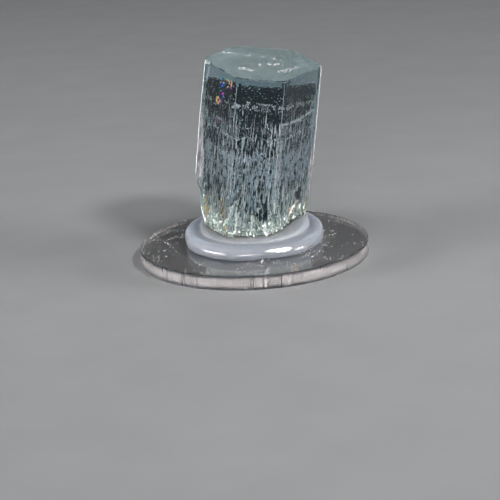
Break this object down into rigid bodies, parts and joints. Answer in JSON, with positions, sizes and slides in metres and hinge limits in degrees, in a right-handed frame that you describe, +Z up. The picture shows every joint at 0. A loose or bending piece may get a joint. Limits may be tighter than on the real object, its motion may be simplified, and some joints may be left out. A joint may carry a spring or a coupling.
{
  "type": "aquamarine crystal on a display base",
  "caption": "Hexagonal aquamarine prism with a flat top, standing in a collar of milky mounting putty on a round clear disc.",
  "frame": {"origin": "middle of the disc's underside, on the surface that the specimen stands on", "axes": "+Z up, -Y towards the front of the specimen, +X to its right; the crystal leans 7.1 degrees towards +X and 5.4 degrees towards -Y"},
  "size_m": [0.0508, 0.0508, 0.0447],
  "materials": {
    "aquamarine": "clear natural crystal, pale greenish blue, with lengthwise growth tubes and a little iron stain",
    "milky_putty": "milky, slightly translucent, glossy where it was pressed smooth",
    "clear_acrylic": "clear polished faces, cut rim with fine upright saw lines"
  },
  "bodies": {
    "root": {"aquamarine_crystal": "aquamarine", "mounting_putty": "milky_putty", "base_disc": "clear_acrylic"}
  },
  "joints": []
}
